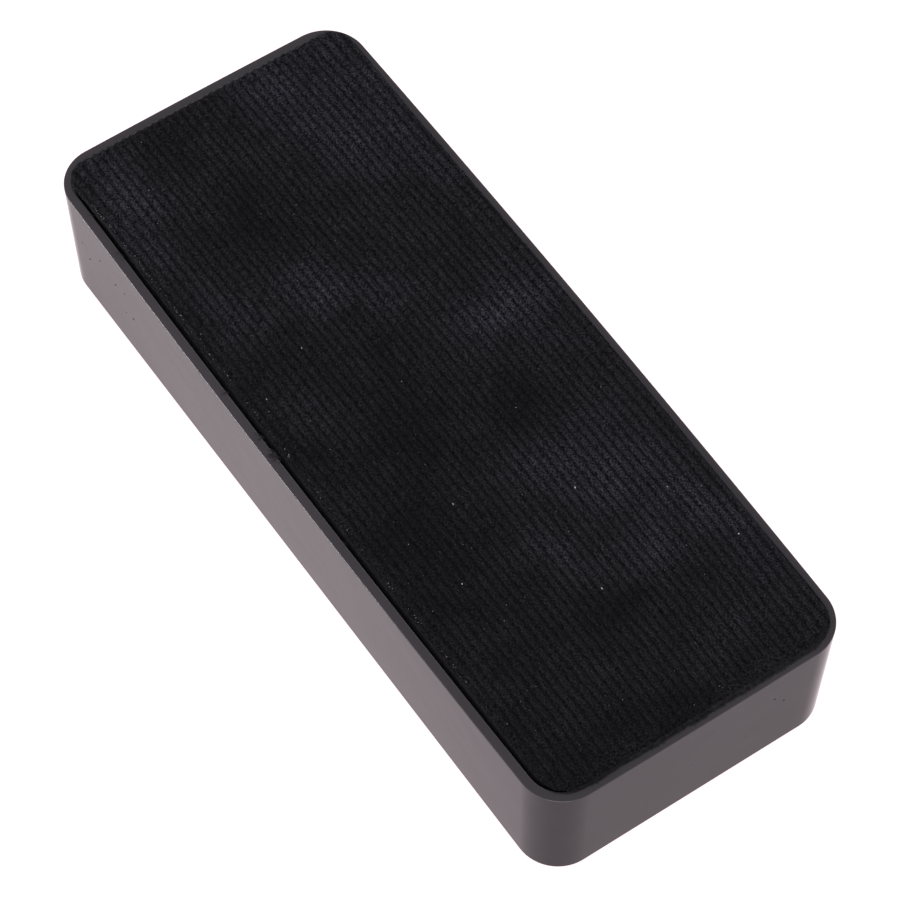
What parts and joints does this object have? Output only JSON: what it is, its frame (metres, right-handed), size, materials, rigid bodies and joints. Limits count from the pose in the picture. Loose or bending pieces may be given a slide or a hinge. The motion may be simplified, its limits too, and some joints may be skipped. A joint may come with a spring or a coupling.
{
  "type": "chalkboard eraser",
  "caption": "Hand-held chalkboard eraser: a shallow rounded black plastic tray holding a corduroy-faced foam pad that stands slightly proud of the rim and sinks when pressed.",
  "frame": {"origin": "middle of the tray's flat back, which the eraser rests on with its wiping face up", "axes": "+Z out of the wiping face, +X along the length, +Y across the width"},
  "size_m": [0.1502, 0.0612, 0.0269],
  "materials": {
    "tray_plastic": "gloss",
    "hot_melt_glue": "satin",
    "hardboard": "matte",
    "tape": "satin",
    "foam": "matte",
    "film": "satin",
    "corduroy": "matte"
  },
  "bodies": {
    "tray": {"housing": "tray_plastic", "glue_dab_1": "hot_melt_glue", "glue_dab_2": "hot_melt_glue", "glue_dab_3": "hot_melt_glue", "glue_dab_4": "hot_melt_glue", "glue_dab_5": "hot_melt_glue", "glue_dab_6": "hot_melt_glue", "glue_dab_7": "hot_melt_glue", "glue_dab_8": "hot_melt_glue", "backing_board": "hardboard", "foam_tape": "tape", "foam_core": "foam"},
    "pad": {"cover_film": "film", "corduroy_cover": "corduroy"}
  },
  "joints": [
    {"name": "pad_press", "type": "slide", "parent": "tray", "child": "pad", "axis": [0, 0, 1], "range_m": [-0.0015, 0], "stiffness_N_per_m": 8000, "deforming": ["foam_core"]}
  ]
}
